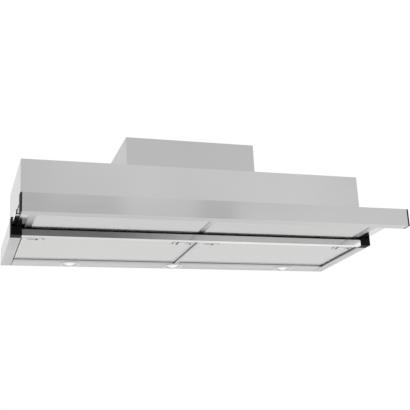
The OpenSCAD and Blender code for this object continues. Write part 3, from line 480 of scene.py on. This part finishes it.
def frostedLens(name):
    # moulded diffuser over one light source: a bright middle that fades to a dimmer glow over its
    # rim, which is painted light lifting the rim's shade
    material, tree, output, place = newMaterial(name)
    axes = addNode(tree, "ShaderNodeSeparateXYZ", links={"Vector": place})
    nearest = None
    for x in lampGlow["placesMm"]:
        offset = addNode(tree, "ShaderNodeMath", settings={"operation": "SUBTRACT"},
                         inputs={1: x * mm}, links={0: axes.outputs["X"]})
        size = addNode(tree, "ShaderNodeMath", settings={"operation": "ABSOLUTE"},
                       links={0: offset.outputs["Value"]}).outputs["Value"]
        if nearest:
            size = addNode(tree, "ShaderNodeMath", settings={"operation": "MINIMUM"},
                           links={0: nearest, 1: size}).outputs["Value"]
        nearest = size
    deep = addNode(tree, "ShaderNodeMath", settings={"operation": "SUBTRACT"},
                   inputs={1: lampGlow["depthMm"] * mm}, links={0: axes.outputs["Y"]})
    spot = addNode(tree, "ShaderNodeCombineXYZ", links={"X": nearest, "Y": deep.outputs["Value"]})
    far = addNode(tree, "ShaderNodeVectorMath", settings={"operation": "LENGTH"},
                  links={0: spot.outputs["Vector"]})
    fade = addNode(tree, "ShaderNodeMapRange", settings={"interpolation_type": "SMOOTHSTEP"},
                   inputs={"From Min": lampGlow["coreMm"] * mm, "From Max": lampGlow["fadeMm"] * mm},
                   links={"Value": far.outputs["Value"]})
    glow = addNode(tree, "ShaderNodeValToRGB", links={"Fac": fade.outputs["Result"]})
    glow.color_ramp.elements[0].color = linearColour(lampGlow["core"])
    glow.color_ramp.elements[1].color = linearColour(lampGlow["rim"])
    finishMaterial(tree, output,
                   {"Base Color": linearColour(lampGlow["acrylic"]), "IOR": lampGlow["index"],
                    "Roughness": lampGlow["roughness"], "Emission Strength": lampGlow["strength"]},
                   {"Emission Color": glow.outputs["Color"]})
    return material


finishes = {
    "brushed_steel": brushedStainless("brushedStainless"),
    "polished_steel": brightAnnealedStainless("brightStainless"),
    "zinc_steel": galvanisedSteel("galvanisedSteel"),
    "aluminium": extrudedAluminium("extrudedAluminium"),
    "seal_rubber": sealRubber("sealRubber"),
    "black_plastic": mouldedPlastic("blackMoulding", "#070707", 0.5, 0.2),
    "grey_plastic": mouldedPlastic("greyMoulding", "#4a4c4e", 0.5),
    "lamp_glass": frostedLens("frostedLens"),
    "lamp_trim": extrudedAluminium("lampTrim", colour="#dedede"),
    "motor_iron": paintedIron("paintedIron"),
}

# Where painted light or painted shade changes a sheet's colour by a share; X is taken both ways from
# the hood's middle
paintedSheetShares = {
    # visor front: painted shade above its fold, which leaves its lower face and fold as a painted
    # highlight
    "visor_front": [("Z", -44.9, 0.85)],
    # lamp panel: painted highlight low on its front flange, painted shade above it, painted shade at
    # both ends by the seams
    "lamp_panel": [("Z", -41.8, 1.6), ("Z", -39.5, 0.45), ("X", 422, 0.2)],
}
nickel = brightAnnealedStainless("nickelPlatedSteel", "#c9c9cb", 0.1)
frameFinish = frameAluminiumPaintedShade("frameAluminiumPaintedShade")
ownFinishes = {
    # the visor's steel painted lighter than the sheet's own colour, a painted highlight on its lower
    # face; its front is brought back down by painted shade
    "visor_front": brushedStainless("brushedVisorSteelPaintedLight", "#bcbcbd", 0.125,
                                    paintedSheetShares["visor_front"]),
    # the casing's own steel made darker here: painted shade on the housing
    "motor_housing": brushedStainless("brushedHousingSteelPaintedShade", colour="#afafb0"),
    # lamp panel steel with painted light and painted shade from the table above
    "lamp_panel": brushedStainless("brushedPanelSteelPaintedLight", paintedShares=paintedSheetShares["lamp_panel"]),
    "centre_divider": brushedStainless("brushedDividerSteel", colour="#c0c0c1"),
    "visor_tray": brightAnnealedStainless("trayStainless", roughness=0.42),
    # front channel: painted reflection and painted highlight in its colour
    "front_channel": brightAnnealedStainless("channelStainlessPaintedReflection", strip=channelPaintedReflection),
    "filter_mesh": expandedAluminium("filterLayers", "#e4e4e3", "#c0c1c2"),
    "visor_filter_mesh": expandedAluminium("visorLayers", "#e8e8e7", "#c6c7c8"),
    "filter_frame": frameFinish,
    "filter_frame_left": frameAluminiumPaintedShade("frameAluminiumLeftPaintedShade", filterFrame["leftPaintedShadeMm"]),
    "visor_filter_frame": frameFinish,
    "corner_block": mouldedPlastic("blockPlastic", "#050505", 0.55, 0.1),
    "slide_middle": nickel,
    "slide_inner": nickel,
}
slots = {piece["node"]: piece["material_slot"] for piece in frame["record"]["subparts"]}
for name, node in cadNodes.items():
    pair = name.removesuffix("_left").removesuffix("_right")
    node.data.materials.clear()
    finish = ownFinishes.get(pair, finishes[slots[name]])
    node.data.materials.append(ownFinishes.get(name, finish))
print("stage: materials set")


# Softened folds catch the thin highlights that the sheet's edges show
fold = {
    "radiusMm": 0.5,
    "segments": 2,
    "overDegrees": 40,
    "pieces": ["visor_front", "casing_wrap", "motor_housing", "front_channel", "lamp_panel",
               "corner_block_left", "corner_block_right", "end_cap_left", "end_cap_right"],
}
for name in fold["pieces"]:
    bevel = cadNodes[name].modifiers.new("softFolds", "BEVEL")
    bevel.width = fold["radiusMm"] * mm
    bevel.segments = fold["segments"]
    bevel.limit_method = "ANGLE"
    bevel.angle_limit = math.radians(fold["overDegrees"])
print("stage: folds softened")


def newPiece(name, vertices, faces, finish, body):
    # closed mesh with its faces turned outwards, which moves with a body
    mesh = bpy.data.meshes.new(name)
    mesh.from_pydata(vertices, [], faces)
    shape = bmesh.new()
    shape.from_mesh(mesh)
    bmesh.ops.recalc_face_normals(shape, faces=shape.faces)
    shape.to_mesh(mesh)
    shape.free()
    mesh.materials.append(finish)
    piece = bpy.data.objects.new(name, mesh)
    scene.collection.objects.link(piece)
    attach(piece, body)


def strandSheet(name, layers, body, finish):
    # one sheet of stretched foil as real strands, over the layers behind it
    node = cadNodes[layers]
    low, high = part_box(layers)
    face = low[2]
    pitch = foil["pitchMm"] * mm
    rise = pitch * foil["slantShare"]
    width = foil["strandMm"] * mm / 2
    margin = foil["inMm"] * mm
    depth = foil["standMm"] * mm
    behind = BVHTree.FromPolygons([point.co for point in node.data.vertices],
                                  [polygon.vertices for polygon in node.data.polygons])

    def isCovered(x, y):
        # the layers lie behind this place and a strand's margin round it
        for dx, dy in ((-margin, 0), (margin, 0), (0, -margin), (0, margin)):
            start = Vector((x + dx, y + dy, face - foil["probeMm"] * mm))
            hit = behind.ray_cast(start, Vector((0, 0, 1)))[0]
            if hit is None or abs(hit.z - face) > foil["flatMm"] * mm:
                return False
        return True

    vertices = []
    faces = []
    places = {}

    def corner(x, y):
        # the place where strands meet, or None where they would leave the layers
        key = (round(x / pitch * 4), round(y / rise * 4))
        if key not in places:
            places[key] = (x, y) if isCovered(x, y) else None
        return places[key]

    def strand(start, end):
        # a bar with a roof section, so that light catches one side of it
        ax, ay = start
        bx, by = end
        length = math.hypot(bx - ax, by - ay)
        sx = -(by - ay) / length * width
        sy = (bx - ax) / length * width
        first = len(vertices)
        for x, y in ((ax, ay), (bx, by)):
            vertices.extend([(x - sx, y - sy, face), (x, y, face - depth), (x + sx, y + sy, face)])
        faces.extend([(first, first + 3, first + 4, first + 1),
                      (first + 1, first + 4, first + 5, first + 2),
                      (first + 2, first + 5, first + 3, first),
                      (first, first + 1, first + 2), (first + 3, first + 5, first + 4)])

    columns = int((high[0] - low[0]) / pitch)
    rows = int((high[1] - low[1]) / rise) * 2
    middleX = (low[0] + high[0]) / 2
    for row in range(rows):
        y = low[1] + row * rise / 2
        shift = pitch / 2 if row % 2 else 0
        for column in range(-1, columns + 1):
            x = middleX + (column - columns / 2) * pitch + shift
            start = corner(x, y)
            for side in (-pitch / 2, pitch / 2):
                end = corner(x + side, y + rise / 2)
                if start and end:
                    strand(start, end)
    newPiece(name, vertices, faces, finish, body)


strandFinish = extrudedAluminium("strandFoil", colour="#e2e2e1")
visorStrandFinish = extrudedAluminium("visorStrandFoil", colour="#dcdcdb")
sheets = [
    ("filterStrandsLeft", "filter_mesh_left", "filter_left", strandFinish),
    ("filterStrandsRight", "filter_mesh_right", "filter_right", strandFinish),
    ("visorStrandsLeft", "visor_filter_mesh_left", "visor", visorStrandFinish),
    ("visorStrandsRight", "visor_filter_mesh_right", "visor", visorStrandFinish),
]
for sheet in sheets:
    strandSheet(*sheet)
print("stage: filter strands made")


# black strip put in the seam between filter and side rail as painted shade
seamShade = {
    "fromMm": 422.6,    # clear of the filter's end
    "toMm": 423.9,      # on the side rail's inner flange
    "frontMm": -124,
    "backMm": 90.5,
    "lowMm": -41.9,
    "highMm": -41.1,
    "steps": 10,        # sides of its round
}


def seamShadeStrip(name, side):
    # a black D section strip in the seam beside the side rail, its round towards the filter: a dark
    # piece that stands in for the shade in the gap
    root = seamShade["toMm"] * mm
    reach = (seamShade["toMm"] - seamShade["fromMm"]) * mm
    middle = (seamShade["lowMm"] + seamShade["highMm"]) / 2 * mm
    half = (seamShade["highMm"] - seamShade["lowMm"]) / 2 * mm
    steps = seamShade["steps"]
    section = [(root - reach * math.sin(math.pi * step / steps) ** 0.5,
                middle - half * math.cos(math.pi * step / steps)) for step in range(steps + 1)]
    vertices = []
    for y in (seamShade["frontMm"] * mm, seamShade["backMm"] * mm):
        vertices.extend([(side * x, y, z) for x, z in section])
    count = len(section)
    faces = [(step, (step + 1) % count, (step + 1) % count + count, step + count)
             for step in range(count)]
    faces.append(tuple(range(count)))
    faces.append(tuple(reversed(range(count, 2 * count))))
    newPiece(name, vertices, faces, finishes["seal_rubber"], "hood")


seamShadeStrip("seamShadeStripLeft", -1)
seamShadeStrip("seamShadeStripRight", 1)
print("stage: side seamShadeStrips made")


# The photographer's place, in front of the hood's left half and below it
view = {"place": (-0.6016, -2.0310, -0.5540), "yaw": 18.053, "pitch": 16.913, "roll": -2.943,
        "lensMm": 74.74, "sensorMm": 36, "farM": 50}
yaw, pitch, roll = (math.radians(view[key]) for key in ("yaw", "pitch", "roll"))
ahead = Vector((math.sin(yaw) * math.cos(pitch), math.cos(yaw) * math.cos(pitch), math.sin(pitch)))
aside = Vector((math.cos(yaw), -math.sin(yaw), 0))
above = aside.cross(ahead)
cameraX = math.cos(roll) * aside + math.sin(roll) * above
cameraY = -math.sin(roll) * aside + math.cos(roll) * above
cameraData = bpy.data.cameras.new("photographer")
cameraData.lens = view["lensMm"]
cameraData.sensor_width = view["sensorMm"]
cameraData.clip_end = view["farM"]
camera = bpy.data.objects.new("photographer", cameraData)
camera.matrix_world = Matrix((cameraX, cameraY, -ahead)).transposed().to_4x4()
camera.location = view["place"]
scene.collection.objects.link(camera)
scene.camera = camera
print("stage: camera set")


studio = {
    "floorZ": -0.75,
    "floorSize": 14,
    "floorColour": "#f2f2f2",
    "floorGlow": 0.5,   # how far the seen floor goes from paint to plain white
    "worldLight": 0.9,
    "lamps": [
        # name, place, target, width, height, watts, spread in degrees
        ("frontSoftbox", (0.82, -2.8, 1.32), (0, -0.15, 0.1), 1.9, 0.9, 1.3, 180),
        ("visorGlow", (0.5, -2.8, 0.75), (0, -0.35, -0.02), 0.4, 0.3, 0.1, 180),
        ("visorCard", (1.45, -2.8, 0.5), (0.2, -0.35, -0.02), 1.0, 0.7, 0.75, 180),
        ("rearLowCard", (0.8, 2.2, -0.5), (0, 0, -0.04), 2.4, 0.5, 0.6, 180),
        ("leftEdgeLight", (-0.95, 1.2, 0.35), (-0.43, 0, 0.07), 0.4, 0.4, 0.005, 16),
    ],
}


def whiteForSight(tree, seen, other):
    # what the camera sees, and what metal and glass show, is white; other rays get the real light
    rays = addNode(tree, "ShaderNodeLightPath")
    sight = addNode(tree, "ShaderNodeMath", settings={"operation": "MAXIMUM"},
                    links={0: rays.outputs["Is Camera Ray"], 1: rays.outputs["Is Glossy Ray"]})
    both = addNode(tree, "ShaderNodeMath", settings={"operation": "MAXIMUM"},
                   links={0: sight.outputs["Value"], 1: rays.outputs["Is Transmission Ray"]})
    return addNode(tree, "ShaderNodeMixShader",
                   links={0: both.outputs["Value"], 1: other, 2: seen}).outputs["Shader"]


def paleFloor():
    # a wide plain floor well below the hung hood; it keeps the hood's soft shadow
    half = studio["floorSize"] / 2
    mesh = bpy.data.meshes.new("paleFloor")
    corners = [(-half, -half, 0), (half, -half, 0), (half, half, 0), (-half, half, 0)]
    mesh.from_pydata(corners, [], [(0, 1, 2, 3)])
    floor = bpy.data.objects.new("paleFloor", mesh)
    floor.location = (0, 0, studio["floorZ"])
    scene.collection.objects.link(floor)
    material, tree, output = newMaterial("paleFloor")[:3]
    paint = addNode(tree, "ShaderNodeBsdfDiffuse",
                    inputs={"Color": linearColour(studio["floorColour"])})
    glow = addNode(tree, "ShaderNodeEmission", inputs={"Strength": 1.0})
    pale = addNode(tree, "ShaderNodeMixShader", inputs={0: studio["floorGlow"]},
                   links={1: paint.outputs["BSDF"], 2: glow.outputs["Emission"]})
    tree.links.new(whiteForSight(tree, pale.outputs["Shader"], paint.outputs["BSDF"]),
                   output.inputs["Surface"])
    mesh.materials.append(material)


def whiteSurround():
    # white all round in what is seen and mirrored, a little less as light
    world = bpy.data.worlds.new("surround")
    scene.world = world
    world.use_nodes = True
    tree = world.node_tree
    tree.nodes.clear()
    light = addNode(tree, "ShaderNodeBackground",
                    inputs={"Color": (1, 1, 1, 1), "Strength": studio["worldLight"]})
    seen = addNode(tree, "ShaderNodeBackground", inputs={"Color": (1, 1, 1, 1), "Strength": 1.0})
    surround = whiteForSight(tree, seen.outputs["Background"], light.outputs["Background"])
    addNode(tree, "ShaderNodeOutputWorld", links={"Surface": surround})


def softbox(name, place, target, width, height, watts, spread):
    # one panel of soft light turned to its target
    data = bpy.data.lights.new(name, "AREA")
    data.shape = "RECTANGLE"
    data.size = width
    data.size_y = height
    data.energy = watts
    data.spread = math.radians(spread)
    lamp = bpy.data.objects.new(name, data)
    lamp.location = place
    lamp.rotation_euler = (Vector(target) - Vector(place)).to_track_quat("-Z", "Y").to_euler()
    scene.collection.objects.link(lamp)


paleFloor()
whiteSurround()
for lamp in studio["lamps"]:
    softbox(*lamp)
scene.view_settings.view_transform = "Standard"
print("stage: studio set")
